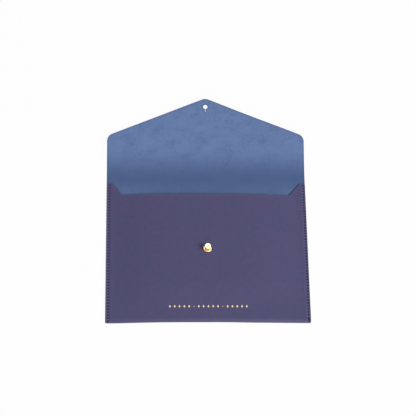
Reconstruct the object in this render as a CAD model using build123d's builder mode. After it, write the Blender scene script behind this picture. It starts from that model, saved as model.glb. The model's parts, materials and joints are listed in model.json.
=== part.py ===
from build123d import *
import os
from math import cos, pi, radians, sin, sqrt, tan

# Envelope pouch, open and lying on its back. One strip of suede-lined leather is folded at the
# bottom, stitched up both sides and closed by a pointed flap that buttons on a stud.
# Millimetres. Origin: centre of the flat back, on the table. +X right, +Y towards the flap, +Z up.

# Leather and lining
leather = 0.8               # smooth outer leather
lining = 0.4                # suede bonded to its inner face
glue_line = 0.1             # between the two linings in the side seams

# Pouch body
pouch_width = 228.0         # over the stitched side edges
body_height = 165.0         # bottom fold to the tops of the ears
pocket_gap = 5.2            # room inside where the pocket is fullest
fold_gap = 1.7              # room inside the bottom fold, halfway across
fold_leg = 6.0              # height of the strip that turns at the bottom
fold_bow = 1.1              # how far the bottom draws in, halfway across
full_height = 50.0          # the pocket is at its fullest from this height up
corner_radius = 1.4         # bottom corners
seam_margin = 5.0           # glued width at each side

# Mouth and ears
mouth_drop = 14.5           # tops of the ears down to the edge of the mouth
ear_top = 6.8               # flat top of an ear, from the side edge
ear_foot = 18.3             # foot of an ear on the mouth, from the side edge
ear_corner_radius = 1.2
mouth_corner_radius = 3.0

# Flap
flap_lift = 6.0             # degrees that the open flap stands up from the table
flap_side = 44.0            # crease to the shoulders
point_reach = 10.5          # button hole to the point
shoulder_radius = 9.5
point_radius = 10.0
button_clearance = 0.2      # between the closed flap and the stud's flange
button_hole = 5.2           # punched hole for the stud's neck
button_slit = 6.5           # slit above the hole that lets the head through
slit_width = 0.5

# Stud
stud_drop = 80.0            # tops of the ears down to the stud, and crease to button hole
flange_diameter = 9.4
flange_thickness = 0.8
flange_edge = 0.25
neck_diameter = 4.0
neck_length = 2.6
head_diameter = 7.5         # ball head
head_flat = 6.4             # flattened top of the ball
dimple_diameter = 3.2
dimple_depth = 0.35

# Screw that holds the stud, put in from inside the pocket
screw_diameter = 2.5
screw_depth = 3.4           # how far it goes up into the stud
screw_clearance = 0.05
screw_head_diameter = 8.0
screw_head_thickness = 0.8
screw_slot_width = 1.0
screw_slot_depth = 0.4

# Side stitching
stitch_inset = 2.6          # from the side edge
stitch_pitch = 3.4
stitch_gap = 0.7            # between two stitches, over a needle hole
seam_start = 2.4            # lowest needle hole above the bottom
seam_stop = 2.4             # highest needle hole below the top of the ear
thread_width = 0.6
thread_thickness = 0.35
thread_proud = 0.1          # how far a stitch stands out of its groove
groove_width = 0.9
groove_floor_gap = 0.02     # between a stitch and the bottom of its groove

# Stamped foil line on the front
foil_height = 18.4          # centre of the line above the bottom
foil_line_length = 87.6
lozenge_width = 2.3
lozenge_height = 3.1
foil_dot = 1.0
foil_thickness = 0.08
foil_bite = 0.02            # how deep the stamping presses the foil in
mark_groups = 3
group_mark_count = 5        # marks in each group

# Worked-out sizes
panel = leather + lining
half_width = pouch_width / 2
half_pocket = half_width - seam_margin
bottom_y = -body_height / 2
top_y = body_height / 2
leg_y = bottom_y + fold_leg
full_y = bottom_y + full_height
mouth_y = top_y - mouth_drop
stud_y = top_y - stud_drop
flap_length = stud_drop + point_reach
seam_top = 2 * panel + glue_line
front_top = seam_top + pocket_gap
flange_top = front_top + flange_thickness

# The closed flap rests on the stud's flange, so the crease makes a half turn of that height
turn_diameter = flange_top + button_clearance
crease_length = pi * turn_diameter / 2
bend_radius = crease_length / radians(flap_lift)
crease_end_y = top_y + bend_radius * sin(radians(flap_lift))
crease_end_z = panel / 2 + bend_radius * (1 - cos(radians(flap_lift)))

# Stations of the curved surfaces
steps_across = 16
steps_up = 4

# Cuts run this far up, clear of everything, and a place is picked to within this much
above_all = 2 * front_top
near = 0.01

os.makedirs("parts", exist_ok=True)


# Share of the pocket's fullness across its width: broad in the middle and flat at the seams
def fullness(x):
    return (1 - min(1, abs(x) / half_pocket) ** 4) ** 2


# Share of the fullness from the bottom strip up to the full height
def rise(part_way):
    start = fold_gap / pocket_gap
    return start + (1 - start) * part_way**2 * (3 - 2 * part_way)


# Points across the pocket, from seam to seam
def across():
    return [half_pocket * (2 * i / steps_across - 1) for i in range(steps_across + 1)]


# Section across the front at one place up it, between two heights above its lining's inner face
def front_section(y, share, low, high):
    seam_z = panel + glue_line
    with BuildSketch(Plane.XZ.offset(-y)) as section:
        with BuildLine():
            for height in (low, high):
                points = [(x, seam_z + height + pocket_gap * share * fullness(x)) for x in across()]
                arch = Spline(*points, tangents=[(1, 0), (1, 0)])
                Line((-half_width, seam_z + height), arch @ 0)
                Line(arch @ 1, (half_width, seam_z + height))
            for side in (-half_width, half_width):
                Line((side, seam_z + low), (side, seam_z + high))
        make_face()
    return section.sketch


# The swelling part of the front, from the bottom strip to the full height
def swelling_front(low, high):
    shares = [i / steps_up for i in range(steps_up + 1)]
    loft([front_section(leg_y + (full_y - leg_y) * i, rise(i), low, high) for i in shares])


# One layer of the front, cut to its outline with two ears, and holed for the stud's screw
def front_layer(low, high):
    swelling_front(low, high)
    extrude(front_section(full_y, 1, low, high), amount=full_y - top_y)
    with BuildSketch() as outline:
        with BuildLine():
            Polyline(
                (-half_width, leg_y),
                (-half_width, top_y),
                (ear_top - half_width, top_y),
                (ear_foot - half_width, mouth_y),
                (half_width - ear_foot, mouth_y),
                (half_width - ear_top, top_y),
                (half_width, top_y),
                (half_width, leg_y),
                close=True,
            )
        make_face()
        fillet(outline.vertices().group_by(Axis.Y)[-1], ear_corner_radius)
        mouth_corners = outline.vertices().filter_by(lambda v: abs(v.Y - mouth_y) < near)
        fillet(mouth_corners, mouth_corner_radius)
    extrude(outline.sketch, amount=above_all, mode=Mode.INTERSECT)
    with Locations((0, stud_y, front_top)):
        Hole(screw_diameter / 2 + screw_clearance)


# Section of the strip that turns at the bottom, between two depths below its outer face
def fold_section(x, outer, inner):
    radius = (seam_top + fold_gap * fullness(x)) / 2
    turn_y = bottom_y + fold_bow * fullness(x) + radius
    with BuildSketch(Plane.YZ.offset(x)) as section:
        with BuildLine():
            for depth in (outer, inner):
                low, high = (turn_y, depth), (turn_y, 2 * radius - depth)
                Line((leg_y, depth), low)
                ThreePointArc(low, (turn_y - radius + depth, radius), high)
                Line(high, (leg_y, 2 * radius - depth))
            Line((leg_y, outer), (leg_y, inner))
            Line((leg_y, 2 * radius - outer), (leg_y, 2 * radius - inner))
        make_face()
    return section.sketch


# One layer of the bottom strip, with its corners rounded in plan
def fold_layer(outer, inner):
    loft([fold_section(x, outer, inner) for x in across()])
    for side in (-1, 1):
        extrude(fold_section(side * half_pocket, outer, inner), amount=side * seam_margin)
    with BuildSketch() as outline:
        with Locations((0, bottom_y)):
            Rectangle(pouch_width, fold_leg, align=(Align.CENTER, Align.MIN))
        fillet(outline.vertices().group_by(Axis.Y)[0], corner_radius)
    extrude(outline.sketch, amount=above_all, mode=Mode.INTERSECT)


# Flat layer of the back, between two heights
def back_layer(low, high):
    with BuildSketch(Plane.XY.offset(low)) as outline:
        with Locations((0, leg_y)):
            Rectangle(pouch_width, top_y - leg_y, align=(Align.CENTER, Align.MIN))
    extrude(outline.sketch, amount=high - low)


# The grooves that the stitches lie in, cut into both side seams between two heights
def seam_grooves(low, high):
    seam_low, seam_high = bottom_y + seam_start, top_y - seam_stop
    with BuildSketch(Plane.XY.offset(low)) as grooves:
        for side in (-1, 1):
            with Locations((side * (half_width - stitch_inset), (seam_low + seam_high) / 2)):
                SlotCenterToCenter(seam_high - seam_low, groove_width, rotation=90)
    extrude(grooves.sketch, amount=high - low, mode=Mode.SUBTRACT)


# Grooves in the back, and in the front, as deep as a stitch is thick
def back_grooves():
    seam_grooves(0, thread_thickness + groove_floor_gap)


def front_grooves():
    seam_grooves(seam_top - thread_thickness + thread_proud - groove_floor_gap, above_all)


# Thread of one side seam: a stitch on each face between two needle holes, and the thread in them
def seam_thread(side):
    run = body_height - seam_start - seam_stop
    count = round(run / stitch_pitch)
    pitch = run / count
    first = bottom_y + seam_start
    low = thread_thickness / 2
    high = seam_top + thread_proud - thread_thickness / 2
    middles = [(first + pitch * (i + 0.5), z) for i in range(count) for z in (low, high)]
    holes = [(first + pitch * i, (low + high) / 2) for i in range(count + 1)]
    with BuildSketch(Plane.YZ.offset(side * (half_width - stitch_inset))) as ladder:
        with Locations(*middles):
            SlotOverall(pitch - stitch_gap, thread_thickness)
        with Locations(*holes):
            Rectangle(stitch_gap + thread_thickness, high - low)
    extrude(ladder.sketch, amount=thread_width / 2, both=True)


# One layer of the crease, bent up by the flap's lift, between two heights above its outer face
def crease_layer(low, high):
    centre = (top_y, panel / 2 + bend_radius)
    with BuildSketch(Plane.YZ) as section:
        with BuildLine():
            outer = CenterArc(centre, bend_radius + panel / 2 - low, -90, flap_lift)
            inner = CenterArc(centre, bend_radius + panel / 2 - high, -90, flap_lift)
            Line(outer @ 0, inner @ 0)
            Line(outer @ 1, inner @ 1)
        make_face()
    extrude(section.sketch, amount=half_width, both=True)


# One layer of the flap, with its button hole and slit, between two heights above its outer face
def flap_layer(low, high):
    tilt = radians(flap_lift)
    flap_plane = Plane(
        origin=(0, crease_end_y, crease_end_z), x_dir=(1, 0, 0), z_dir=(0, -sin(tilt), cos(tilt))
    )
    with BuildSketch(flap_plane.offset(low - panel / 2)) as outline:
        with BuildLine():
            Polyline(
                (-half_width, 0),
                (-half_width, flap_side),
                (0, flap_length),
                (half_width, flap_side),
                (half_width, 0),
                close=True,
            )
        make_face()
        fillet(outline.vertices().group_by(Axis.Y)[-1], point_radius)
        fillet(outline.vertices().filter_by(lambda v: abs(v.Y - flap_side) < near), shoulder_radius)
        with Locations((0, stud_drop)):
            Circle(button_hole / 2, mode=Mode.SUBTRACT)
        with Locations((0, stud_drop - button_slit / 2)):
            Rectangle(slit_width, button_slit, mode=Mode.SUBTRACT)
    extrude(outline.sketch, amount=high - low)


# Back
with BuildPart() as back_panel:
    back_layer(0, leather)
    back_grooves()
back_panel.part.label = "back_panel"
export_step(back_panel.part, "parts/back_panel.step")

with BuildPart() as back_lining:
    back_layer(leather, panel)
back_lining.part.label = "back_lining"
export_step(back_lining.part, "parts/back_lining.step")

# Bottom fold
with BuildPart() as bottom_fold:
    fold_layer(0, leather)
    back_grooves()
    front_grooves()
bottom_fold.part.label = "bottom_fold"
export_step(bottom_fold.part, "parts/bottom_fold.step")

with BuildPart() as bottom_fold_lining:
    fold_layer(leather, panel)
bottom_fold_lining.part.label = "bottom_fold_lining"
export_step(bottom_fold_lining.part, "parts/bottom_fold_lining.step")

# Front
with BuildPart() as front_panel:
    front_layer(lining, panel)
    front_grooves()
front_panel.part.label = "front_panel"
export_step(front_panel.part, "parts/front_panel.step")

with BuildPart() as front_lining:
    front_layer(0, lining)
front_lining.part.label = "front_lining"
export_step(front_lining.part, "parts/front_lining.step")

# Crease and flap
with BuildPart() as flap_crease:
    crease_layer(0, leather)
flap_crease.part.label = "flap_crease"
export_step(flap_crease.part, "parts/flap_crease.step")

with BuildPart() as flap_crease_lining:
    crease_layer(leather, panel)
flap_crease_lining.part.label = "flap_crease_lining"
export_step(flap_crease_lining.part, "parts/flap_crease_lining.step")

with BuildPart() as flap_panel:
    flap_layer(0, leather)
flap_panel.part.label = "flap_panel"
export_step(flap_panel.part, "parts/flap_panel.step")

with BuildPart() as flap_lining:
    flap_layer(leather, panel)
flap_lining.part.label = "flap_lining"
export_step(flap_lining.part, "parts/flap_lining.step")

# Side stitching
with BuildPart() as left_seam_thread:
    seam_thread(-1)
left_seam_thread.part.label = "left_seam_thread"
export_step(left_seam_thread.part, "parts/left_seam_thread.step")

with BuildPart() as right_seam_thread:
    seam_thread(1)
right_seam_thread.part.label = "right_seam_thread"
export_step(right_seam_thread.part, "parts/right_seam_thread.step")

# Stud: a ball head on a neck and a flange, turned in one piece and tapped from below
ball = head_diameter / 2
neck = neck_diameter / 2
flat = head_flat / 2
neck_top = flange_top + neck_length
ball_z = neck_top + sqrt(ball**2 - neck**2)
head_top = ball_z + sqrt(ball**2 - flat**2)
bore = screw_diameter / 2 + screw_clearance
with BuildPart() as stud:
    with BuildSketch(Plane.XZ.offset(-stud_y)) as profile:
        with BuildLine():
            Polyline(
                (bore, front_top + screw_depth + screw_clearance),
                (bore, front_top),
                (flange_diameter / 2, front_top),
                (flange_diameter / 2, flange_top),
                (neck, flange_top),
                (neck, neck_top),
            )
            ThreePointArc((neck, neck_top), (ball, ball_z), (flat, head_top))
            Polyline(
                (flat, head_top),
                (dimple_diameter / 2, head_top),
                (dimple_diameter / 2 - dimple_depth, head_top - dimple_depth),
                (0, head_top - dimple_depth),
                (0, front_top + screw_depth + screw_clearance),
                (bore, front_top + screw_depth + screw_clearance),
            )
        make_face()
        rim = profile.vertices().filter_by(lambda v: abs(v.X - flange_diameter / 2) < near)
        fillet(rim, flange_edge)
    revolve(axis=Axis((0, stud_y, 0), (0, 0, 1)))
stud.part.label = "stud"
export_step(stud.part, "parts/stud.step")

# Screw with a slotted flat head under the front's lining
screw_seat = front_top - panel
with BuildPart() as stud_screw:
    with BuildSketch(Plane.XY.offset(screw_seat)):
        with Locations((0, stud_y)):
            Circle(screw_diameter / 2)
    extrude(amount=panel + screw_depth)
    with BuildSketch(Plane.XY.offset(screw_seat)):
        with Locations((0, stud_y)):
            Circle(screw_head_diameter / 2)
    extrude(amount=-screw_head_thickness)
    with BuildSketch(Plane.XY.offset(screw_seat - screw_head_thickness)):
        with Locations((0, stud_y)):
            Rectangle(screw_head_diameter, screw_slot_width)
    extrude(amount=screw_slot_depth, mode=Mode.SUBTRACT)
stud_screw.part.label = "stud_screw"
export_step(stud_screw.part, "parts/stud_screw.step")

# Foil line: groups of lozenges with a dot between them, pressed into the front
mark_count = mark_groups * group_mark_count + mark_groups - 1
mark_pitch = (foil_line_length - lozenge_width) / (mark_count - 1)
marks = [(mark_pitch * (i - (mark_count - 1) / 2), bottom_y + foil_height) for i in range(mark_count)]
dots = marks[group_mark_count :: group_mark_count + 1]
lozenges = [mark for mark in marks if mark not in dots]
with BuildPart() as foil_marks:
    add(front_panel.part.moved(Location((0, 0, foil_thickness - foil_bite))))
    with BuildSketch():
        with Locations(*lozenges):
            Polygon(
                (0, -lozenge_height / 2),
                (lozenge_width / 2, 0),
                (0, lozenge_height / 2),
                (-lozenge_width / 2, 0),
                align=None,
            )
        with Locations(*dots):
            Circle(foil_dot / 2)
    extrude(amount=above_all, mode=Mode.INTERSECT)
    add(front_panel.part.moved(Location((0, 0, -foil_bite))), mode=Mode.SUBTRACT)
foil_marks.part.label = "foil_marks"
export_step(foil_marks.part, "parts/foil_marks.step")

# The rigid flap's pivot: the point about which its foot swings from open to closed
swing = radians(180 - flap_lift)
step_y = top_y - crease_end_y
step_z = panel / 2 + turn_diameter - crease_end_z
pivot_y = (top_y + crease_end_y) / 2 - step_z / (2 * tan(swing / 2))
pivot_z = (panel / 2 + turn_diameter + crease_end_z) / 2 + step_y / (2 * tan(swing / 2))
print(f"flap turns about y {pivot_y:.3f}, z {pivot_z:.3f}; crease {crease_length:.2f} long")
print(f"front stands {front_top:.2f} high, stud {head_top - front_top:.2f} above it")
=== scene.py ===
import json
import math
import random

import bpy
import numpy as np
from mathutils import Matrix, Vector
from mathutils.geometry import delaunay_2d_cdt


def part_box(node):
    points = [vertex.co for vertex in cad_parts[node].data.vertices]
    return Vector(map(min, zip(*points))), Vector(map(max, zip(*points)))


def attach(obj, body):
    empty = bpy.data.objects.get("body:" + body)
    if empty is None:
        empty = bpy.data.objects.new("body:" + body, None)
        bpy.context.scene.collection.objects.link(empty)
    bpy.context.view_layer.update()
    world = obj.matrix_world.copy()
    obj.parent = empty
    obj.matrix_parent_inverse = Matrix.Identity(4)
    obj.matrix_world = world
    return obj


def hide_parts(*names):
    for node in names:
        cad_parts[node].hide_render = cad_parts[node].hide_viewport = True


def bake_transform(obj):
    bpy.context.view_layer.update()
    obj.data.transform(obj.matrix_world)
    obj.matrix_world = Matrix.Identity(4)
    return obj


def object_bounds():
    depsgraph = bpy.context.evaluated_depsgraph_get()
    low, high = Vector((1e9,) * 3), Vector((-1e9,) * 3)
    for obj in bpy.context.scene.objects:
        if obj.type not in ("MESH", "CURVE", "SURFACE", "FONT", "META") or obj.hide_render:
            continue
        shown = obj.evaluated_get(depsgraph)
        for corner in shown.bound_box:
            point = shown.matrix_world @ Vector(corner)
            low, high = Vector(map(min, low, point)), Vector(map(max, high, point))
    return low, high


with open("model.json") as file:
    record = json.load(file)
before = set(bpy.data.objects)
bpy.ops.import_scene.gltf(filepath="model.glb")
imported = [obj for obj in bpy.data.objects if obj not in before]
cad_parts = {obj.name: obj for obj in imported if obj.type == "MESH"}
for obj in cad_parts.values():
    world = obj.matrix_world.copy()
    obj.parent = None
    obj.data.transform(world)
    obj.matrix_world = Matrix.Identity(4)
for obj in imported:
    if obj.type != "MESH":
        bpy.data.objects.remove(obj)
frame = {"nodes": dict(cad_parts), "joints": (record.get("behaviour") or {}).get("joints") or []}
cadLow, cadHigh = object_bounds()
scene = bpy.context.scene
print("frame loaded with", len(frame["nodes"]), "nodes")

mm = 0.001
stripMap = "strip"  # texture map that follows the leather strip, in metres
rimMark = "rim"  # 1 at a cut edge, falling to 0 inside it
shadeMark = "paintedShade"  # painted shade: 1 in a needle hole, less in the groove round the stud; on brass, the painted shade and warm reflection under the head and in the dimple

# Places read from the frame
backLow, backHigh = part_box("back_panel")
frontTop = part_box("front_panel")[1].z
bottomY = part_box("bottom_fold")[0].y
halfWidth = backHigh.x
topY = backHigh.y  # foot of the flap's crease, and the tops of the ears
legY = backLow.y  # where the bottom strip starts to turn
leather = backHigh.z
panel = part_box("back_lining")[1].z  # leather and lining together
hinge = frame["joints"][0]
flapLift = math.radians(-hinge["range_deg"][0])
creaseRadius = (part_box("flap_crease")[1].y - topY) / math.sin(flapLift) - panel / 2
creaseLength = creaseRadius * flapLift
creaseEndY = topY + creaseRadius * math.sin(flapLift)
creaseEndZ = panel / 2 + creaseRadius * (1 - math.cos(flapLift))

# Pouch: the sizes that its curved surfaces need
pouch = {
    "glueLine": 0.1 * mm,
    "seamMargin": 5 * mm,  # glued width at each side
    "foldGap": 1.7 * mm,  # room inside the bottom fold, halfway across
    "foldBow": 1.1 * mm,  # how far the bottom draws in, halfway across
    "foldEven": 0.55,  # share of that bow which is missing towards the right
    "foldEvenFrom": (10 * mm, 60 * mm),  # across the pouch, where that share sets in and is full
    "foldSlope": math.radians(30),
    "fullHeight": 50 * mm,  # the pocket is fullest from this height up
    "cornerRadius": 1.4 * mm,
    "mouthDrop": 14.5 * mm,
    "earTop": 6.8 * mm,
    "earFoot": 18.3 * mm,
    "earRadius": 1.2 * mm,
    "mouthRadius": 3 * mm,
    "glueFade": 6 * mm,  # run over which the lining lets go of the glued margin
}
halfPocket = halfWidth - pouch["seamMargin"]
seamTop = 2 * panel + pouch["glueLine"]
pocketGap = frontTop - seamTop
fullY = bottomY + pouch["fullHeight"]
mouthY = topY - pouch["mouthDrop"]


# Number-array helpers
def smooth(low, high, value):
    share = np.clip((value - low) / (high - low), 0, 1)
    return share * share * (3 - 2 * share)


def bell(distance, width):
    return np.exp(-((distance / width) ** 2))


def fullness(x):  # share of the pocket's fullness across its width
    return (1 - np.minimum(1, np.abs(x) / halfPocket) ** 4) ** 2


def rise(y):  # share of it from the bottom strip up
    start = pouch["foldGap"] / pocketGap
    return start + (1 - start) * smooth(legY, fullY, y)


# Where a point of the strip lies: across it, along it, and deep under its outer face
def onBack(x, y, depth):
    return np.stack([x, y, depth], 1)


def onFront(x, y, depth):
    return np.stack([x, y, seamTop + pocketGap * rise(y) * fullness(x) - depth], 1)


foldLeg = legY - bottomY - seamTop / 2  # flat run on each side of the bottom turn
foldTurn = math.pi * seamTop / 2
foldLength = 2 * foldLeg + foldTurn


def onFold(x, along, depth):  # flat leg, turn, then a slope that eases into the front
    full = fullness(x)
    inCorner = np.clip(np.abs(x) - halfWidth + pouch["cornerRadius"], 0, pouch["cornerRadius"])
    drawn = pouch["cornerRadius"] - np.sqrt(pouch["cornerRadius"] ** 2 - inCorner**2)
    slope = pouch["foldSlope"] * full
    bow = pouch["foldBow"] * full * (1 - pouch["foldEven"] * smooth(*pouch["foldEvenFrom"], x))
    steep, room = np.tan(slope), legY - bottomY - bow - drawn
    top = seamTop + pouch["foldGap"] * full
    radius = (top - steep * room / 2) / (1 + np.cos(slope) - steep * (1 - np.sin(slope)) / 2)
    turnY = legY - room + radius
    turned = np.clip((along - foldLeg) / foldTurn, 0, 1) * (math.pi - slope)
    back = np.clip(1 - along / foldLeg, 0, 1) * (legY - turnY)
    up = np.clip((along - foldLeg - foldTurn) / foldLeg, 0, 1)
    run = room - radius * (1 - np.sin(slope))
    facing = np.where(up > 0, math.pi - np.arctan(steep * (1 - up)), turned)
    y = turnY + back + run * up - radius * np.sin(turned) + depth * np.sin(facing)
    z = radius - radius * np.cos(turned) + steep * run * (up - up**2 / 2) + depth * np.cos(facing)
    return np.stack([x, y, z], 1)


def onCrease(x, along, depth):
    turned = along / creaseRadius
    reach = creaseRadius + panel / 2 - depth
    y = topY + reach * np.sin(turned)
    z = panel / 2 + creaseRadius - reach * np.cos(turned)
    return np.stack([x, y, z], 1)


def onFlap(x, along, depth):
    above = depth - panel / 2
    y = creaseEndY + along * math.cos(flapLift) - above * math.sin(flapLift)
    z = creaseEndZ + along * math.sin(flapLift) + above * math.cos(flapLift)
    return np.stack([x, y, z], 1)


# Side seams: where the needle holes are, and how the leather draws in round them
seam = {
    "inset": 2.6 * mm,
    "offset": 0.3 * mm,  # both rows were sewn this far to the right
    "pitch": 3.4 * mm,
    "start": 2.4 * mm,  # from the bottom to the lowest needle hole
    "stop": 2.4 * mm,  # from the highest one to the tops of the ears
    "valley": 0.38 * mm,  # the thread draws a wide valley into both faces
    "valleyOut": 1.3 * mm,
    "valleyIn": 1.2 * mm,
    "ridge": 0.17 * mm,  # and the leather stands up beside it, towards the pocket
    "ridgeAt": 3.1 * mm,
    "ridgeWidth": 1.1 * mm,
    "hole": 0.38 * mm,
    "holeWidth": 0.62 * mm,
    "holeLength": 0.92 * mm,
    "threadWidth": 0.95 * mm,
    "threadThickness": 0.5 * mm,
    "proud": 0.28 * mm,  # how far a stitch stands out of its valley
    "backSink": 0.1 * mm,  # the back's stitches lie deeper, clear of the table
    "dive": 0.7 * mm,  # how far a stitch's ends go into its holes
    "fade": (0.2 * mm, 1.6 * mm),  # run past the end holes in which the valley dies out
    "tack": 1.1,  # stitches sewn over again at the foot of the right seam
    "tackAside": 0.2 * mm,  # how far the second thread lies beside the first, and above it
    "tackAbove": 0.12 * mm,
    "firstRow": 0.4 * mm,
    "rowsPerStitch": 12,  # of mesh points, in columns at these mm from the side
    "columns": [0.95, 1.3, 1.65, 1.95, 2.2, 2.4, 2.6, 2.8, 3.0, 3.25, 3.6, 4.0, 4.5, 5.1, 5.8],
}
seamX = halfWidth - seam["inset"]
firstHole = bottomY + seam["start"]
lastHole = topY - seam["stop"]
stitchCount = round((lastHole - firstHole) / seam["pitch"])
stitchPitch = (lastHole - firstHole) / stitchCount


def sewn(y):  # 1 along the stitches, 0 past their ends
    near, far = seam["fade"]
    started = smooth(firstHole - far, firstHole - near, y)
    return started * (1 - smooth(lastHole + near, lastHole + far, y))


def pierced(x, y):  # 1 in the middle of a needle hole
    steps = np.clip((y - firstHole) / stitchPitch, 0, stitchCount)
    tacked = (steps < seam["tack"]) & (x > 0)
    between = np.where(tacked, (steps * 2 - np.round(steps * 2)) / 2, steps - np.round(steps))
    past = np.clip(y - lastHole, 0, None) + np.clip(firstHole - y, 0, None)
    out = np.abs(x - seam["offset"]) - seamX
    return bell(out, seam["holeWidth"]) * bell(between * stitchPitch + past, seam["holeLength"])


def seamRelief(x, y):  # how deep the sewn leather lies under its plain face
    out = np.abs(x - seam["offset"]) - seamX
    width = np.where(out > 0, seam["valleyOut"], seam["valleyIn"])
    ridge = seam["ridge"] * bell(out + seam["ridgeAt"], seam["ridgeWidth"])
    return sewn(y) * (seam["valley"] * bell(out, width) - ridge) + seam["hole"] * pierced(x, y)


def seamPoints(low, high):  # close rows of points over both seams
    inset = np.array(seam["columns"]) * mm
    rows = np.arange(low + seam["firstRow"], high, stitchPitch / seam["rowsPerStitch"])
    x, y = np.meshgrid(np.concatenate([inset - halfWidth, halfWidth - inset]), rows)
    return np.stack([x.ravel(), y.ravel()], 1)


# Outlines in the flat strip. A corner is (x, y, radius, the edge after it is cut).
layout = {
    "edgeStep": 1.2 * mm,
    "arcStep": 0.35 * mm,
    "gridStep": 2.2 * mm,
    "clearOfEdge": 0.3 * mm,
    "clearOfDetail": 1.3 * mm,  # from the plain points to the close ones
    "seamRoom": 7.4 * mm,  # from the side to the plain points of a sewn panel
    "footRoom": 0.6 * mm,
    "rimWidth": 1.4 * mm,  # how far in from a cut edge it is rubbed
}


def outline(corners):
    points, cuts = [], []
    for i, (x, y, radius, cut) in enumerate(corners):
        here, before = Vector((x, y)), Vector(corners[i - 1][:2])
        after = Vector(corners[(i + 1) % len(corners)][:2])
        if not radius:
            points.append(here)
            cuts.append(cut)
            continue
        back, forth = (before - here).normalized(), (after - here).normalized()
        half = back.angle(forth) / 2
        centre = here + (back + forth).normalized() * radius / math.sin(half)
        start = here + back * radius / math.tan(half) - centre
        sweep = (math.pi - 2 * half) * (1 if forth.cross(back) > 0 else -1)
        steps = max(4, math.ceil(abs(sweep) * radius / layout["arcStep"]))
        for k in range(steps + 1):
            angle = sweep * k / steps
            turn = Matrix.Rotation(angle, 2)
            points.append(centre + turn @ start)
            cuts.append(True if k < steps else cut)
    finePoints, fineCuts = [], []
    for i, point in enumerate(points):
        run = points[(i + 1) % len(points)] - point
        steps = max(1, math.ceil(run.length / layout["edgeStep"]))
        for k in range(steps):
            finePoints.append(point + run * k / steps)
            fineCuts.append(cuts[i])
    return np.array(finePoints), np.array(fineCuts, float)


def insetBy(points, cuts, distance):  # cut edges move in, and joints slide along themselves
    run = np.roll(points, -1, 0) - points
    inward = np.stack([-run[:, 1], run[:, 0]], 1) / np.linalg.norm(run, axis=1, keepdims=True)
    before, cutBefore = np.roll(inward, 1, 0), np.roll(cuts, 1)
    cross = before[:, 0] * inward[:, 1] - before[:, 1] * inward[:, 0]
    straight = np.abs(cross) < 0.01
    cross[straight] = 1
    x = (cutBefore * inward[:, 1] - cuts * before[:, 1]) / cross
    y = (cuts * before[:, 0] - cutBefore * inward[:, 0]) / cross
    move = np.stack([x, y], 1)
    move[straight] = (inward * cuts[:, None])[straight]
    return points + distance * move


def inChunks(points, work, size=4000):
    return np.concatenate([work(points[i : i + size]) for i in range(0, len(points), size)])


def inside(points, loops):  # even and odd crossings of all the loops
    def count(some):
        crossed = np.zeros(len(some), int)
        for loop in loops:
            a, b = loop, np.roll(loop, -1, 0)
            above = (a[:, 1] > some[:, None, 1]) != (b[:, 1] > some[:, None, 1])
            rising = np.where(a[:, 1] == b[:, 1], 1, b[:, 1] - a[:, 1])
            at = a[:, 0] + (some[:, None, 1] - a[:, 1]) / rising * (b[:, 0] - a[:, 0])
            crossed += (above & (some[:, None, 0] < at)).sum(1)
        return crossed % 2 == 1
    return inChunks(points, count)


def nearest(points, others):  # distance to the nearest of the other points
    def least(some):
        return np.sqrt(((some[:, None] - others) ** 2).sum(2).min(1))
    return inChunks(points, least, 2000)


def grid(low, high, stepX, stepY):
    columns = max(2, round((high[0] - low[0]) / stepX) + 1)
    rows = max(2, round((high[1] - low[1]) / stepY) + 1)
    x, y = np.meshgrid(np.linspace(low[0], high[0], columns), np.linspace(low[1], high[1], rows))
    return np.stack([x.ravel(), y.ravel()], 1)


def fill(loops, inner):  # triangles between the loops, through the inner points
    corners = np.concatenate([*loops, inner])
    edges, first = [], 0
    for loop in loops:
        count = len(loop)
        edges += [(first + i, first + (i + 1) % count) for i in range(count)]
        first += count
    flat = [Vector(p) for p in corners / mm]
    _, _, faces, origin, _, _ = delaunay_2d_cdt(flat, edges, [], 0, 1e-5)
    faces = np.array([[origin[v][0] for v in face] for face in faces])
    faces = faces[inside(corners[faces].mean(1), loops)]
    a, b, c = (corners[faces[:, i]] for i in range(3))
    u, v = b - a, c - a
    turned = u[:, 0] * v[:, 1] - u[:, 1] * v[:, 0] < 0
    faces[turned] = faces[turned][:, ::-1]
    return faces


def meshObject(name, points, faces, materials, uv=None, marks=None, kinds=None, sharp=40):
    mesh = bpy.data.meshes.new(name)
    mesh.from_pydata([tuple(p) for p in points], [], [tuple(int(i) for i in face) for face in faces])
    for material in materials:
        mesh.materials.append(material)
    if kinds is not None:
        mesh.polygons.foreach_set("material_index", np.asarray(kinds, np.int32))
    if uv is not None:
        corners = np.empty(len(mesh.loops), np.int32)
        mesh.loops.foreach_get("vertex_index", corners)
        flat = mesh.uv_layers.new(name=stripMap)
        flat.uv.foreach_set("vector", uv[corners].astype(np.float32).ravel())
    for mark, values in (marks or {}).items():
        layer = mesh.attributes.new(mark, "FLOAT", "POINT")
        layer.data.foreach_set("value", values.astype(np.float32))
    mesh.shade_smooth()
    mesh.set_sharp_from_angle(angle=math.radians(sharp))
    mesh.validate()
    made = bpy.data.objects.new(name, mesh)
    scene.collection.objects.link(made)
    return made


def bandFaces(first, rows, size):  # quads between rows of points that go round
    faces = []
    for row in range(rows - 1):
        for i in range(size):
            a, b = first + row * size + i, first + row * size + (i + 1) % size
            faces.append((a, b, b + size, a + size))
    return faces


def roundedSide(outer, inner, outerRadius, innerRadius, steps=4):  # (inset, depth) down a cut edge
    angles = [k / steps * math.pi / 2 for k in range(steps + 1)]
    rings = [
        (outerRadius * (1 - math.sin(a)), outer + outerRadius * (1 - math.cos(a)))
        for a in (angles if outerRadius else angles[:1])
    ]
    return rings + [
        (innerRadius * (1 - math.cos(a)), inner - innerRadius * (1 - math.sin(a)))
        for a in (angles if innerRadius else angles[:1])
    ]


def unpierced(x, y):
    return np.zeros(len(x))


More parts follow.
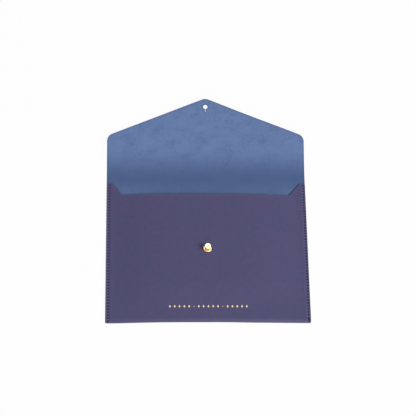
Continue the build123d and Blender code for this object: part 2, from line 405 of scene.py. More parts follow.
# One sheet of the strip: cut edges, an outer and an inner face through their points, reliefs and marks
def sheetPiece(
    name, loops, place, sheet, strip, points, relief=(None, None), flip=False, paintedShade=unpierced
):
    outer, inner = sheet["span"]
    outerPoints, innerPoints = points
    outerRelief, innerRelief = relief
    rings = roundedSide(outer, inner, *sheet["rounding"])
    plan, depth, faces, kinds, starts = [], [], [], [], []
    count = 0
    for inset, level in rings:
        starts.append(count)
        for loop, cuts in loops:
            plan.append(insetBy(loop, cuts, inset))
            depth.append(np.full(len(loop), level))
            count += len(loop)
    around = starts[1] if len(starts) > 1 else count
    for ring in range(len(rings) - 1):
        first = 0
        for loop, cuts in loops:
            size = len(loop)
            for i in range(size):
                a, b = first + i, first + (i + 1) % size
                low, high = starts[ring], starts[ring + 1]
                faces.append((low + a, high + a, high + b, low + b))
                kinds.append(1)
            first += size
    for ring, extra in ((0, outerPoints), (len(rings) - 1, innerPoints)):
        edges = [insetBy(loop, cuts, rings[ring][0]) for loop, cuts in loops]
        extra = extra[inside(extra, edges)]
        extra = extra[nearest(extra, np.concatenate(edges)) > layout["clearOfEdge"]]
        numbers = np.concatenate([starts[ring] + np.arange(around), count + np.arange(len(extra))])
        made = numbers[fill(edges, extra)]
        faces += [tuple(face) for face in (made if ring else made[:, ::-1])]
        kinds += [0] * len(made)
        plan.append(extra)
        depth.append(np.full(len(extra), rings[ring][1]))
        count += len(extra)
    plan, depth = np.concatenate(plan), np.concatenate(depth)
    cutPoints = np.concatenate([loop[cuts > 0] for loop, cuts in loops])
    rim = bell(nearest(plan, cutPoints), layout["rimWidth"])
    share = (depth - outer) / (inner - outer)
    # the painted shade mark, on the outer half of the sheet only
    marks = {rimMark: rim, shadeMark: paintedShade(plan[:, 0], plan[:, 1]) * (share < 0.5)}
    if outerRelief is not None:
        depth = depth + outerRelief(plan[:, 0], plan[:, 1]) * np.clip(1 - share, 0, 1)
    if innerRelief is not None:
        depth = depth - innerRelief(plan[:, 0], plan[:, 1]) * np.clip(share, 0, 1)
    if flip:
        faces = [face[::-1] for face in faces]
    uv = plan * np.array([1, strip[1]]) + np.array([0, strip[0]])
    points = place(plan[:, 0], plan[:, 1], depth)
    return meshObject(name, points, faces, sheet["materials"], uv, marks, kinds)


# Shader maths: an output that +, - and * work on
class Wire:
    def __init__(self, paint, socket):
        self.paint = paint
        self.socket = socket

    def __add__(self, other):
        return self.paint.math("ADD", self, other)

    def __sub__(self, other):
        return self.paint.math("SUBTRACT", self, other)

    def __rsub__(self, other):
        return self.paint.math("SUBTRACT", other, self)

    def __mul__(self, other):
        return self.paint.math("MULTIPLY", self, other)

    __radd__ = __add__
    __rmul__ = __mul__


class Paint:
    def __init__(self, owner):  # the owner is a new material or world
        self.owner = owner
        owner.use_nodes = True
        self.tree = owner.node_tree
        self.tree.nodes.clear()

    def node(self, kind, settings, inputs, output=0):  # settings are set first, then values and links
        made = self.tree.nodes.new(kind)
        for key, value in settings.items():
            setattr(made, key, value)
        for key, value in inputs.items():
            if isinstance(value, Wire):
                self.tree.links.new(value.socket, made.inputs[key])
            else:
                made.inputs[key].default_value = value
        return Wire(self, made.outputs[output]) if made.outputs else None

    def math(self, operation, *values):
        return self.node("ShaderNodeMath", {"operation": operation}, dict(enumerate(values)))

    def strip(self):  # place on the leather strip, in metres
        return self.node("ShaderNodeUVMap", {"uv_map": stripMap}, {})

    def inPiece(self):  # place in the piece's own space
        return self.node("ShaderNodeTexCoord", {}, {}, 3)

    def partOf(self, place, axis):
        return self.node("ShaderNodeSeparateXYZ", {}, {0: place}, axis)

    def mark(self, name):
        return self.node("ShaderNodeAttribute", {"attribute_name": name}, {}, 2)

    def noise(self, place, size, detail=2, roughness=0.5, stretch=(1, 1, 1)):
        scaled = self.node("ShaderNodeVectorMath", {"operation": "MULTIPLY"}, {0: place, 1: stretch})
        inputs = {"Vector": scaled, "Scale": 1 / size, "Detail": detail, "Roughness": roughness}
        return self.node("ShaderNodeTexNoise", {}, inputs)

    def cells(self, place, size, feature="F1"):
        inputs = {"Vector": place, "Scale": 1 / size}
        return self.node("ShaderNodeTexVoronoi", {"feature": feature}, inputs)

    def between(self, value, low, high, start=0, end=1):
        inputs = {"Value": value, "From Min": low, "From Max": high, "To Min": start, "To Max": end}
        return self.node("ShaderNodeMapRange", {"interpolation_type": "SMOOTHSTEP"}, inputs)

    def mix(self, share, first, second):  # each colour is a link, or red, green and blue
        first, second = (c if isinstance(c, Wire) else (*c, 1) for c in (first, second))
        return self.node("ShaderNodeMix", {"data_type": "RGBA"}, {0: share, 6: first, 7: second}, 2)

    def shade(self, colour, share):
        return self.node("ShaderNodeVectorMath", {"operation": "SCALE"}, {0: colour, "Scale": share})

    def bump(self, height, depth, strength):
        inputs = {"Height": height, "Distance": depth, "Strength": strength}
        return self.node("ShaderNodeBump", {}, inputs)

    def looked(self):  # 1 where the camera, a reflection or a clear piece looks
        seen = [
            self.node("ShaderNodeLightPath", {}, {}, way)
            for way in ("Is Camera Ray", "Is Glossy Ray", "Is Transmission Ray")
        ]
        return self.math("MAXIMUM", self.math("MAXIMUM", seen[0], seen[1]), seen[2])

    def finish(self, colour, roughness, normal, others=None):
        inputs = {"Base Color": colour, "Roughness": roughness, "Normal": normal, **(others or {})}
        surface = self.node("ShaderNodeBsdfPrincipled", {}, inputs)
        self.node("ShaderNodeOutputMaterial", {}, {"Surface": surface})
        return self.owner


# Smooth leather: fine grain with soft mottling, rubbed a little at the edges
leatherLook = {
    "colour": (0.0880, 0.0790, 0.1750),
    "cool": (0.0838, 0.0808, 0.1755),
    # lighter tone: rubbed leather at the cut edges, and a painted highlight along the bottom fold
    "rubbedAndLit": (0.120, 0.112, 0.225),
    # near black painted into the needle holes and the groove round the stud, as painted shade
    "paintedShade": (0.005, 0.005, 0.032),
    "foldHighlight": (6.3 * mm, 1.5 * mm),  # from the fold's middle: where its painted highlight starts and is full
    "foldHighlightShare": (0.4, 0.95),  # that painted highlight's strength towards the left and towards the right, where the key light falls
    "foldHighlightSides": (-80 * mm, 80 * mm),  # where it has those strengths
    "rimShare": 0.4,
    "patch": 38 * mm,
    "patchRange": (0.35, 0.65),
    "cloudsPerPatch": 7,
    "cloudShade": (0.97, 1.03),
    "grain": 0.75 * mm,
    "grainGap": 0.22,
    "gapShade": (0.93, 1),
    "grainDepth": 0.05 * mm,
    "grainStrength": 0.55,
    "pore": 0.28 * mm,
    "holeRange": (0.08, 0.42),  # marks at which the painted shade of a hole or groove starts and is fully dark
    "roughness": 0.5,
    "specular": 0.15,
}


def leatherMaterial(name, look):
    paint = Paint(bpy.data.materials.new(name))
    place = paint.strip()
    patch = paint.noise(place, look["patch"], 3)
    cloud = paint.noise(place, look["patch"] / look["cloudsPerPatch"], 2)
    colour = paint.mix(paint.between(patch, *look["patchRange"]), look["colour"], look["cool"])
    across, along = paint.partOf(place, 0), paint.partOf(place, 1)
    # painted highlight along the bottom fold, stronger towards the right where the key light falls;
    # partly rubbed leather at the bend
    fromFold = paint.math("ABSOLUTE", along - (legY - foldLength / 2))
    side = paint.between(across, *look["foldHighlightSides"], *look["foldHighlightShare"])
    colour = paint.mix(paint.between(fromFold, *look["foldHighlight"]) * side, colour, look["rubbedAndLit"])
    colour = paint.mix(paint.mark(rimMark) * look["rimShare"], colour, look["rubbedAndLit"])
    grain = paint.between(paint.cells(place, look["grain"], "DISTANCE_TO_EDGE"), 0, look["grainGap"])
    pore = paint.noise(place, look["pore"], 3, 0.6)
    gapShade = paint.between(grain, 0, 1, *look["gapShade"])
    colour = paint.shade(colour, gapShade * paint.between(cloud, 0.3, 0.7, *look["cloudShade"]))
    # painted shade: the needle holes and the groove round the stud are darkened
    paintedShade = paint.mark(shadeMark)
    colour = paint.mix(paint.between(paintedShade, *look["holeRange"]), colour, look["paintedShade"])
    normal = paint.bump(grain * 0.6 + pore * 0.5, look["grainDepth"], look["grainStrength"])
    roughness = look["roughness"] + (patch - 0.5) * 0.10 + (1 - grain) * 0.06 + paintedShade * 0.3
    return paint.finish(colour, roughness, normal, {"Specular IOR Level": look["specular"]})


# Suede lining: a short nap that lies this way and that
suedeLook = {
    "colour": (0.130, 0.205, 0.402),
    "light": (0.152, 0.233, 0.445),
    "dark": (0.068, 0.110, 0.245),
    "patch": 16 * mm,
    "streak": 3 * mm,
    "fibre": 0.35 * mm,
    "fibreShade": (0.9, 1.08),
    "napDepth": 0.12 * mm,
    "napStrength": 0.6,
    "roughness": 0.93,
    "creaseShade": 38 * mm,  # how far from the crease the suede is darkened, as painted shade in the crease
    "darkShare": {"nap": 0.25, "crease": 0.85, "rim": 0.45},
    "specular": 0.15,
    "sheen": 0.12,
}


def suedeMaterial(name, look):
    paint = Paint(bpy.data.materials.new(name))
    place = paint.strip()
    patch = paint.noise(place, look["patch"], 4, 0.55)
    streak = paint.noise(place, look["streak"], 4, 0.6, (1, 0.8, 1))
    fibre = paint.noise(place, look["fibre"], 2, 0.7, (1, 0.5, 1))
    fromCrease = paint.math("ABSOLUTE", paint.partOf(place, 1) - (topY + creaseLength / 2))
    shaded = 1 - paint.between(fromCrease, 0, look["creaseShade"])
    nap = patch * 0.45 + streak * 0.35 + fibre * 0.2
    colour = paint.mix(paint.between(nap, 0.38, 0.6), look["colour"], look["light"])
    dark = look["darkShare"]
    colour = paint.mix(paint.between(nap, 0.5, 0.34) * dark["nap"], colour, look["dark"])
    # painted shade: the suede darkens towards the crease
    colour = paint.mix(shaded * dark["crease"], colour, look["dark"])
    colour = paint.mix(paint.mark(rimMark) * dark["rim"], colour, look["dark"])
    colour = paint.shade(colour, paint.between(fibre, 0.3, 0.7, *look["fibreShade"]))
    normal = paint.bump(fibre + streak * 0.6, look["napDepth"], look["napStrength"])
    return paint.finish(colour, look["roughness"] - patch * 0.08, normal, {
        "Specular IOR Level": look["specular"],
        "Sheen Weight": look["sheen"],
        "Sheen Roughness": 0.55,
        "Sheen Tint": (0.75, 0.85, 1, 1),
    })


# Painted cut edges
edgeLook = {
    "colour": (0.040, 0.038, 0.098),
    "worn": (0.060, 0.058, 0.128),
    "fleck": 1.6 * mm,
    "depth": 0.05 * mm,
    "roughness": 0.42,
}


def edgeMaterial(name, look):
    paint = Paint(bpy.data.materials.new(name))
    place = paint.inPiece()
    fleck = paint.noise(place, look["fleck"], 3, 0.6)
    colour = paint.mix(paint.between(fleck, 0.45, 0.7), look["colour"], look["worn"])
    normal = paint.bump(fleck, look["depth"], 0.5)
    roughness = look["roughness"] + fleck * 0.15
    return paint.finish(colour, roughness, normal)


# Waxed thread
threadLook = {
    "colour": (0.150, 0.141, 0.280),
    "light": (0.212, 0.202, 0.378),
    # near black painted on the thread where it dives into its holes, as painted shade
    "paintedShade": (0.005, 0.005, 0.030),
    "strand": 0.12 * mm,
    "depth": 0.04 * mm,
    "holeRange": (0.12, 0.45),
    "roughness": 0.6,
    "specular": 0.2,
}


def threadMaterial(name, look):
    paint = Paint(bpy.data.materials.new(name))
    place = paint.inPiece()
    strand = paint.noise(place, look["strand"], 2, 0.6, (1, 0.3, 1))
    colour = paint.mix(paint.between(strand, 0.35, 0.7), look["colour"], look["light"])
    # painted shade on the thread's ends, in its needle holes
    inHole = paint.between(paint.mark(shadeMark), *look["holeRange"])
    colour = paint.mix(inHole, colour, look["paintedShade"])
    normal = paint.bump(strand, look["depth"], 0.6)
    roughness = look["roughness"] - strand * 0.1
    return paint.finish(colour, roughness, normal, {"Specular IOR Level": look["specular"]})


# Polished brass, with hair scratches and a trace of haze
brassLook = {
    "colour": (1.0, 0.84, 0.58),
    "deep": (0.82, 0.57, 0.28),  # painted shade and warm reflection: deeper gold in the dimple and under the head
    "haze": 2.2 * mm,
    "scratch": 0.25 * mm,
    "scratchDepth": 0.004 * mm,
    "roughness": 0.10,
}


def brassMaterial(name, look):
    paint = Paint(bpy.data.materials.new(name))
    place = paint.inPiece()
    haze = paint.noise(place, look["haze"], 3, 0.6)
    scratch = paint.noise(place, look["scratch"], 2, 0.7, (1, 0.08, 1))
    dullAndShaded = paint.mark(shadeMark)
    # painted shade and warm reflection under the head and in the dimple; the brass there is also rougher
    colour = paint.mix(dullAndShaded * 0.9 + paint.between(haze, 0.45, 0.7) * 0.1, look["colour"], look["deep"])
    normal = paint.bump(scratch, look["scratchDepth"], 0.4)
    scratched = paint.between(scratch, 0.55, 0.75)
    roughness = look["roughness"] + haze * 0.08 + dullAndShaded * 0.14 + scratched * 0.08
    return paint.finish(colour, roughness, normal, {"Metallic": 1})


# Stamped foil: thin gold that keeps some of the leather's grain
foilLook = {
    "colour": (0.66, 0.49, 0.25),
    "thin": (0.46, 0.33, 0.16),
    "grain": 0.5 * mm,
    "depth": 0.03 * mm,
    "roughness": 0.34,
}


def foilMaterial(name, look):
    paint = Paint(bpy.data.materials.new(name))
    place = paint.inPiece()
    grain = paint.cells(place, look["grain"])
    wear = paint.noise(place, look["grain"], 3, 0.6)
    colour = paint.mix(paint.between(wear, 0.55, 0.75) * 0.6, look["colour"], look["thin"])
    normal = paint.bump(grain, look["depth"], 0.35)
    roughness = look["roughness"] + wear * 0.15
    return paint.finish(colour, roughness, normal, {"Metallic": 1})


navyLeather = leatherMaterial("navyLeather", leatherLook)
blueSuede = suedeMaterial("blueSuede", suedeLook)
edgePaint = edgeMaterial("edgePaint", edgeLook)
navyThread = threadMaterial("navyThread", threadLook)
polishedBrass = brassMaterial("polishedBrass", brassLook)
goldFoil = foilMaterial("goldFoil", foilLook)
print("materials made")


# The strip's two sheets: depths of their faces, rounding of those faces' edges, and looks
leatherSheet = {
    "span": (0, leather),
    "rounding": (0.28 * mm, 0),
    "materials": [navyLeather, edgePaint],
}
suedeSheet = {
    "span": (leather, panel),
    "rounding": (0, 0.12 * mm),
    "materials": [blueSuede, edgePaint],
}
stripOf = {  # a length's start on the whole strip, and its direction
    "front": (2 * legY - foldLength, -1),
    "fold": (legY, -1),
    "back": (0, 1),
    "crease": (topY, 1),
    "flap": (topY + creaseLength, 1),
}
waveRoom = {"foot": 12 * mm, "top": 8 * mm, "side": 25 * mm}  # runs over which a panel's waves set in


def panelPoints(low, high):  # a plain grid inside the seams
    reach, step = halfWidth - layout["seamRoom"], layout["gridStep"]
    return grid((-reach, low + layout["footRoom"]), (reach, high), step, step)


def straightCorners(low, high):  # a length of the strip that is cut only at its sides
    return [
        (-halfWidth, low, 0, False),
        (halfWidth, low, 0, True),
        (halfWidth, high, 0, False),
        (-halfWidth, high, 0, True),
    ]


def wave(x, y, size, phase):  # slow unevenness of a leather panel, from -1 to 1
    a = np.sin(x / size * 6.3 + phase) * np.cos(y / size * 4.9 + phase * 1.7)
    b = np.sin((x * 0.7 + y) / size * 9.1 + phase * 2.3)
    return 0.6 * a + 0.4 * b


def slack(x, y, low, high):  # where a panel may be uneven: off its seams and ends
    ends = smooth(0, waveRoom["foot"], y - low) * smooth(0, waveRoom["top"], high - y)
    return smooth(0, waveRoom["side"], halfPocket - np.abs(x)) * ends


# Stamped line: groups of lozenges with a dot between them
foilLine = {
    "length": 87.6 * mm,
    "height": 18.4 * mm,
    "lozenge": (2.3 * mm, 3.1 * mm),
    "dot": 1.0 * mm,
    "groups": 3,
    "inGroup": 5,
    "cornerRadii": (0.18 * mm, 0.22 * mm),  # at a lozenge's sides, and at its top and foot
    "pressed": 0.06 * mm,
    "pressedEdge": (0.95, 1.4),  # in shares of a mark's reach from its middle
    "foilUnder": 0.03 * mm,  # the foil's face, below the leather around it
    # From the middle of the foil's face to its underside: share of the outline, and depth
    "domed": ((0.55, 0), (0.9, 0.002 * mm), (1, 0.014 * mm), (1, 0.05 * mm)),
}
halfLong, halfHigh = foilLine["lozenge"][0] / 2, foilLine["lozenge"][1] / 2
markCount = foilLine["groups"] * foilLine["inGroup"] + foilLine["groups"] - 1
markPitch = (foilLine["length"] - foilLine["lozenge"][0]) / (markCount - 1)
markXs = [markPitch * (i - (markCount - 1) / 2) for i in range(markCount)]
isDot = [(i + 1) % (foilLine["inGroup"] + 1) == 0 for i in range(markCount)]
foilY = bottomY + foilLine["height"]


def foilRelief(x, y):
    pressed = np.zeros(len(x))
    for at, dot in zip(markXs, isDot):
        if dot:
            reach = np.hypot(x - at, y - foilY) / (foilLine["dot"] / 2)
        else:
            reach = np.abs(x - at) / halfLong + np.abs(y - foilY) / halfHigh
        pressed = np.maximum(pressed, 1 - smooth(*foilLine["pressedEdge"], reach))
    return pressed * foilLine["pressed"]


# Leather of the front
studLow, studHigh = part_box("stud")
studY = (studLow.y + studHigh.y) / 2
flangeRadius = (studHigh.x - studLow.x) / 2
front = {
    "unevenness": 0.10 * mm,
    "waveSize": 150 * mm,
    "wavePhase": 0.8,
    "calmOfFoil": 12 * mm,
    "calmOfStud": (6 * mm, 25 * mm),
    "groove": 0.3 * mm,  # pinched in round the stud's flange
    "grooveAt": 0.2 * mm,  # out from the flange's rim
    "grooveWidth": 0.55 * mm,
    "grooveShade": 0.4,
    "swell": 0.06 * mm,
    "swellAt": 2.2 * mm,  # out from it too
    "swellWidth": 1.3 * mm,
}


def roundStud(x, y):  # 1 in the groove round the flange
    return bell(np.hypot(x, y - studY) - flangeRadius - front["grooveAt"], front["grooveWidth"])


def frontRelief(x, y):
    fromStud = np.hypot(x, y - studY)
    swell = front["swell"] * bell(fromStud - flangeRadius - front["swellAt"], front["swellWidth"])
    calm = smooth(0, front["calmOfFoil"], np.abs(y - foilY)) * smooth(*front["calmOfStud"], fromStud)
    waves = wave(x, y, front["waveSize"], front["wavePhase"])
    uneven = front["unevenness"] * waves * slack(x, y, legY, mouthY) * calm
    return seamRelief(x, y) + foilRelief(x, y) + front["groove"] * roundStud(x, y) - swell + uneven


# painted shade: dark in the needle holes and in the groove round the stud's flange
def frontShade(x, y):
    return np.maximum(pierced(x, y), front["grooveShade"] * roundStud(x, y))


ear = [  # the right one, from the seam inwards
    (halfWidth, topY, pouch["earRadius"], True),
    (halfWidth - pouch["earTop"], topY, pouch["earRadius"], True),
    (halfWidth - pouch["earFoot"], mouthY, pouch["mouthRadius"], True),
]
frontCorners = [(-halfWidth, legY, 0, False), (halfWidth, legY, 0, True), *ear]
frontCorners += [(-x, y, radius, cut) for x, y, radius, cut in ear[::-1]]


def rings(centre, radii, count):
    turns = np.arange(count) * 2 * math.pi / count
    around = np.stack([np.cos(turns), np.sin(turns)], 1)
    return np.concatenate([np.array(centre) + radius * around for radius in radii])


def apartFrom(points, others, gap):  # drops the points that crowd the others
    return points[nearest(points, others) > gap]


# Close points round the foil line and the stud, and plain ones between
foilRoom = {"side": 2.2 * mm, "top": 2.4 * mm, "step": 0.35 * mm}
side, top, step = foilRoom.values()
foilZone = grid((markXs[0] - side, foilY - top), (markXs[-1] + side, foilY + top), step, step)
pastFlange = np.array([-0.9, -0.4, -0.1, 0.2, 0.5, 0.8, 1.2, 1.7, 2.4, 3.3, 4.4]) * mm
studZone = rings((0, studY), flangeRadius + pastFlange, 48)
plain = panelPoints(legY, topY)
sewnPoints = seamPoints(legY, topY)
frontDetail = np.concatenate([foilZone, studZone])
frontPlain = apartFrom(plain, frontDetail, layout["clearOfDetail"])
frontFine = np.concatenate([frontPlain, frontDetail, sewnPoints])
frontLoops = [outline(frontCorners)]
frontLeather = sheetPiece(
    "frontLeather", frontLoops, onFront, leatherSheet, stripOf["front"], (frontFine, plain),
    (frontRelief, None), True, frontShade,
)
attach(frontLeather, "pouch")
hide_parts("front_panel")


def glued(x, y):  # the lining closes the glue line in the seams
    return -pouch["glueLine"] * (1 - smooth(0, pouch["glueFade"], halfPocket - np.abs(x)))


frontSuede = sheetPiece(
    "frontSuede", frontLoops, onFront, suedeSheet, stripOf["front"], (plain, plain), (None, glued), True
)
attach(frontSuede, "pouch")
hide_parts("front_lining")
print("front made")


# Back
backLining = {"unevenness": 0.08 * mm, "waveSize": 120 * mm, "wavePhase": 2.1}


def backRelief(x, y):  # nothing stands out of the face that lies on the table
    return np.maximum(seamRelief(x, y), 0)


backLoops = [outline(straightCorners(legY, topY))]
backFine = np.concatenate([plain, sewnPoints])
backLeather = sheetPiece(
    "backLeather", backLoops, onBack, leatherSheet, stripOf["back"], (backFine, plain),
    (backRelief, None), paintedShade=pierced,
)
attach(backLeather, "pouch")
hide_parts("back_panel")


def backLiningRelief(x, y):
    waves = wave(x, y, backLining["waveSize"], backLining["wavePhase"])
    return backLining["unevenness"] * waves * slack(x, y, legY, topY)


backSuede = sheetPiece(
    "backSuede", backLoops, onBack, suedeSheet, stripOf["back"], (plain, plain), (None, backLiningRelief)
)
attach(backSuede, "pouch")
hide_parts("back_lining")
print("back made")


# Bottom fold, with close points at its two ends, where the seams reach it
foldNet = {
    "inset": (7 * mm, 0.45 * mm),
    "step": (2.6 * mm, 0.36 * mm),
    "ends": (0.8 * mm, 6.2 * mm),  # nearest and farthest, from the pouch's side
    "endWidth": 5.4 * mm,
    "endInset": 0.4 * mm,
    "endStep": (0.27 * mm, 0.3 * mm),
}


def foldHeight(along):  # y of a place on the fold's flat runs, where stitches reach
    return np.where(along < foldLength / 2, legY - along, legY - foldLength + along)


def foldRelief(x, along):
    relief = seamRelief(x, foldHeight(along))
    return np.where(along < foldLength / 2, np.maximum(relief, 0), relief)


# painted shade in the needle holes on the fold
def foldShade(x, along):
    return pierced(x, foldHeight(along))


foldSide, foldEnd = halfWidth - foldNet["inset"][0], foldNet["inset"][1]
foldInner = grid((-foldSide, foldEnd), (foldSide, foldLength - foldEnd), *foldNet["step"])
width, inset = foldNet["endWidth"], foldNet["endInset"]
foldEnds = [
    grid((low, inset), (low + width, foldLength - inset), *foldNet["endStep"])
    for low in (-halfWidth + foldNet["ends"][0], halfWidth - foldNet["ends"][1])
]
foldFine = np.concatenate([foldInner, *foldEnds])
foldLoops = [outline(straightCorners(0, foldLength))]
foldLeather = sheetPiece(
    "foldLeather", foldLoops, onFold, leatherSheet, stripOf["fold"], (foldFine, foldInner),
    (foldRelief, None), True, foldShade,
)
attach(foldLeather, "pouch")
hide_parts("bottom_fold")
foldSuede = sheetPiece(
    "foldSuede", foldLoops, onFold, suedeSheet, stripOf["fold"], (foldInner, foldInner), flip=True
)
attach(foldSuede, "pouch")
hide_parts("bottom_fold_lining")
print("bottom fold made")

# Crease, built as it lies at rest
crease = {
    "inset": 1.2 * mm,
    "rowStep": 0.3 * mm,
    "columnStep": 3 * mm,
    "bendStart": 0.25,  # shares of its length at which the points bendFrom and bendTo are taken
    "bendEnd": 0.72,
}
creaseSide, creaseRow = halfWidth - crease["inset"], crease["rowStep"]
creaseInner = grid(
    (-creaseSide, creaseRow), (creaseSide, creaseLength - creaseRow), crease["columnStep"], creaseRow
)
creaseLoops = [outline(straightCorners(0, creaseLength))]


def inCrease(share):  # halfway through the two sheets, that far along
    return onCrease(np.zeros(1), np.array([share * creaseLength]), np.array([panel / 2]))[0]


bendFrom = inCrease(crease["bendStart"])
bendTo = inCrease(crease["bendEnd"])
for name, node, slot, sheet in (
    ("creaseLeather", "flap_crease", "navy_leather", leatherSheet),
    ("creaseSuede", "flap_crease_lining", "blue_suede", suedeSheet),
):
    piece = sheetPiece(name, creaseLoops, onCrease, sheet, stripOf["crease"], (creaseInner, creaseInner))
    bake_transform(piece)
    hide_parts(node)
print("crease made")

# Flap, with its button hole and the slit that lets the stud's head through
flap = {
    "side": 44 * mm,
    "length": 90.5 * mm,
    "shoulderRadius": 9.5 * mm,
    "pointRadius": 10 * mm,
    "holeRadius": 2.6 * mm,
    "slitLength": 6.5 * mm,
    "slitWidth": 0.5 * mm,
    "unevenness": 0.25 * mm,
    "waveSize": 130 * mm,
    "wavePhase": 1.3,
    "calmFoot": 22 * mm,
    "calmHole": (6 * mm, 24 * mm),
    "curl": 3 * mm,  # the right shoulder stands up a little
    "curlFrom": (30 * mm, 5 * mm),  # across from the middle, and up from the crease
    "inset": (1.4 * mm, 0.7 * mm),
}
flapCorners = [
    (-halfWidth, 0, 0, False),
    (halfWidth, 0, 0, True),
    (halfWidth, flap["side"], flap["shoulderRadius"], True),
    (0, flap["length"], flap["pointRadius"], True),
    (-halfWidth, flap["side"], flap["shoulderRadius"], True),
]
holeAlong = topY - studY  # the hole meets the stud when the flap is closed


def buttonHole():  # clockwise round the hole and down the slit
    half, radius = flap["slitWidth"] / 2, flap["holeRadius"]
    joint = math.asin(half / radius)
    turns = np.linspace(-math.pi / 2 - joint, -5 * math.pi / 2 + joint, 48)
    circle = [(radius * math.cos(t), holeAlong + radius * math.sin(t)) for t in turns]
    foot = holeAlong - flap["slitLength"]
    run = np.linspace(foot + half, holeAlong - radius * math.cos(joint), 12)[:-1]
    end = [(half * math.cos(a), foot + half - half * math.sin(a)) for a in np.linspace(0, math.pi, 7)]
    points = [(-half, y) for y in run[1:]] + circle + [(half, y) for y in run[:0:-1]] + end
    return np.array(points), np.ones(len(points))


def flapWave(x, along):
    fromHole = np.hypot(x, along - holeAlong)
    calm = smooth(0, flap["calmFoot"], along) * smooth(*flap["calmHole"], fromHole)
    across, up = flap["curlFrom"]
    curled = smooth(across, halfWidth, x) * smooth(up, flap["side"], along)
    uneven = flap["unevenness"] * (1 + wave(x, along, flap["waveSize"], flap["wavePhase"])) * calm
    return uneven + flap["curl"] * curled


def onUnevenFlap(x, along, depth):  # leather and lining keep their thickness and wave together
    return onFlap(x, along, depth + flapWave(x, along))


# Close points round the button hole and its slit, and plain ones between
flapSide, step = halfWidth - flap["inset"][0], layout["gridStep"]
flapGrid = grid((-flapSide, flap["inset"][1]), (flapSide, flap["length"]), step, step)
slitRoom = {"side": 2.4 * mm, "foot": 9 * mm, "top": 3.2 * mm, "step": 0.6 * mm, "clear": 0.4 * mm}
side, step = slitRoom["side"], slitRoom["step"]
holeZone = rings((0, holeAlong), np.array([3.0, 3.5, 4.2, 5.2, 6.6]) * mm, 36)
slitZone = grid((-side, holeAlong - slitRoom["foot"]), (side, holeAlong - slitRoom["top"]), step, step)
flapDetail = np.concatenate([holeZone, apartFrom(slitZone, holeZone, slitRoom["clear"])])
flapFine = np.concatenate([apartFrom(flapGrid, flapDetail, layout["clearOfDetail"]), flapDetail])
flapLoops = [outline(flapCorners), buttonHole()]
for name, node, slot, sheet in (
    ("flapLeather", "flap_panel", "navy_leather", leatherSheet),
    ("flapSuede", "flap_lining", "blue_suede", suedeSheet),
):
    piece = sheetPiece(name, flapLoops, onUnevenFlap, sheet, stripOf["flap"], (flapFine, flapFine))
    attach(piece, "flap")
    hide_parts(node)
print("flap made")


# Stitches: each one a twisted pair of strands that dives into its two holes
stitch = {
    "rows": 15,
    "sides": 12,
    "slant": 0.12 * mm,
    "slantRange": (0.6, 1.4),
    "shift": 0.03 * mm,  # either way
    "reach": 0.97,  # of the way from hole to hole
    "twist": 2.6,  # half turns in one stitch
    "hump": 0.16,  # share of the thickness that the two strands stand out by
    "taper": 0.4,
}


def stitchTube(x, start, end, level, outward, rng):
    rows, sides = stitch["rows"], stitch["sides"]
    slant = stitch["slant"] * rng.uniform(*stitch["slantRange"])
    shift = rng.uniform(-stitch["shift"], stitch["shift"])
    twist = rng.uniform(0, math.pi)
    points = []
    for row in range(rows):
        u = row / (rows - 1) * 2 - 1
        along = (start + end) / 2 + u * (end - start) / 2 * stitch["reach"]
        middle = np.array([x + shift + slant * u, along, level])
        middle[2] -= outward * seam["dive"] * abs(u) ** 4
        taper = 1 - stitch["taper"] * abs(u) ** 6
        for side in range(sides):
            angle = side / sides * 2 * math.pi
            turned = angle - twist - stitch["twist"] * math.pi * u / 2
            strand = 1 - stitch["hump"] + stitch["hump"] * abs(math.cos(turned))
            across = math.cos(angle) * seam["threadWidth"] / 2 * strand * taper
            up = math.sin(angle) * seam["threadThickness"] / 2 * strand * taper
            points.append(middle + np.array([across, 0, up]))
    faces = bandFaces(0, rows, sides)
    faces.append(tuple(range(sides))[::-1])
    faces.append(tuple(range((rows - 1) * sides, rows * sides)))
    return points, faces


def seamStitches(name, side, node, seed):
    rng = random.Random(seed)
    points, faces = [], []

    def add(x, start, end, level, outward):
        made, joined = stitchTube(x, start, end, level, outward, rng)
        first = len(points)
        points.extend(made)
        faces.extend([tuple(first + i for i in face) for face in joined])

    x = side * seamX + seam["offset"]
    sink = seam["threadThickness"] / 2 - seam["proud"] + seam["valley"]
    for level, outward in ((seamTop - sink, 1), (sink + seam["backSink"], -1)):
        for i in range(stitchCount):
            add(x, firstHole + i * stitchPitch, firstHole + (i + 1) * stitchPitch, level, outward)
        for i in (0, 0.5) if side > 0 else ():
            start = firstHole + i * stitchPitch
            beside = x + rng.choice((-1, 1)) * seam["tackAside"]
            add(beside, start, start + stitchPitch / 2, level + outward * seam["tackAbove"], outward)
    points = np.array(points)
    # painted shade where the thread dives into its holes
    marks = {shadeMark: pierced(np.full(len(points), x), points[:, 1])}
    piece = meshObject(name, points, faces, [navyThread], marks=marks)
    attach(piece, "pouch")
    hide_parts(node)


seamStitches("leftSeamStitches", -1, "left_seam_thread", 11)
seamStitches("rightSeamStitches", 1, "right_seam_thread", 12)
print("side seams sewn,", stitchCount, "stitches each")


